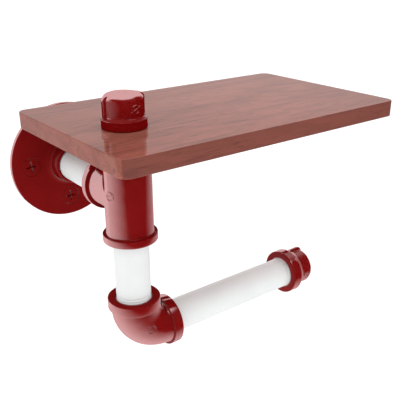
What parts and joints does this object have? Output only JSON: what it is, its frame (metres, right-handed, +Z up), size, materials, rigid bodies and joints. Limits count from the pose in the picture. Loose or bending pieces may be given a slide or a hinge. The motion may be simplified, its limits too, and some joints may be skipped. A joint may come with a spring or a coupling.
{
  "type": "toilet paper holder with shelf",
  "caption": "Wall-mounted toilet paper holder made of threaded pipe and painted pipe fittings, with a wooden shelf above the roll bar.",
  "frame": {"origin": "middle of the wall flange's back face, on the wall's surface", "axes": "+Y into the wall, +Z up, +X along the roll bar towards its end cap"},
  "size_m": [0.2102, 0.1602, 0.1673],
  "materials": {
    "wall_flange": "satin red paint",
    "flange_screw_1": "satin red paint",
    "flange_screw_2": "satin red paint",
    "flange_screw_3": "satin red paint",
    "flange_screw_4": "satin red paint",
    "wall_nipple": "satin white paint",
    "tee": "satin red paint",
    "reducing_bushing": "satin red paint",
    "shelf_nipple": "satin white paint",
    "shelf": "lacquered",
    "top_cap": "satin red paint",
    "drop_nipple": "satin white paint",
    "elbow": "satin red paint",
    "roll_bar": "satin white paint",
    "end_cap": "satin red paint"
  },
  "bodies": {
    "wall_mount": {"wall_flange": "wall_flange", "flange_screw_1": "flange_screw_1", "flange_screw_2": "flange_screw_2", "flange_screw_3": "flange_screw_3", "flange_screw_4": "flange_screw_4", "wall_nipple": "wall_nipple", "tee": "tee", "reducing_bushing": "reducing_bushing", "shelf_nipple": "shelf_nipple", "drop_nipple": "drop_nipple"},
    "shelf_board": {"shelf": "shelf"},
    "top_cap": {"top_cap": "top_cap"},
    "roll_arm": {"elbow": "elbow", "roll_bar": "roll_bar"},
    "end_cap": {"end_cap": "end_cap"}
  },
  "joints": [
    {"name": "arm_swing", "type": "hinge", "parent": "wall_mount", "child": "roll_arm", "pos_m": [0, -0.0796, -0.0938], "axis": [0, 0, 1], "range_deg": [-90, 27]},
    {"name": "end_cap_turn", "type": "hinge", "parent": "roll_arm", "child": "end_cap", "pos_m": [0.12684, -0.0796, -0.0938], "axis": [1, 0, 0], "range_deg": [0, 360]},
    {"name": "top_cap_turn", "type": "hinge", "parent": "wall_mount", "child": "top_cap", "pos_m": [0, -0.0796, 0.0384], "axis": [0, 0, 1], "range_deg": [0, 360]},
    {"name": "shelf_turn", "type": "hinge", "parent": "wall_mount", "child": "shelf_board", "pos_m": [0, -0.0796, 0.0284], "axis": [0, 0, 1], "range_deg": [-10, 2]}
  ]
}
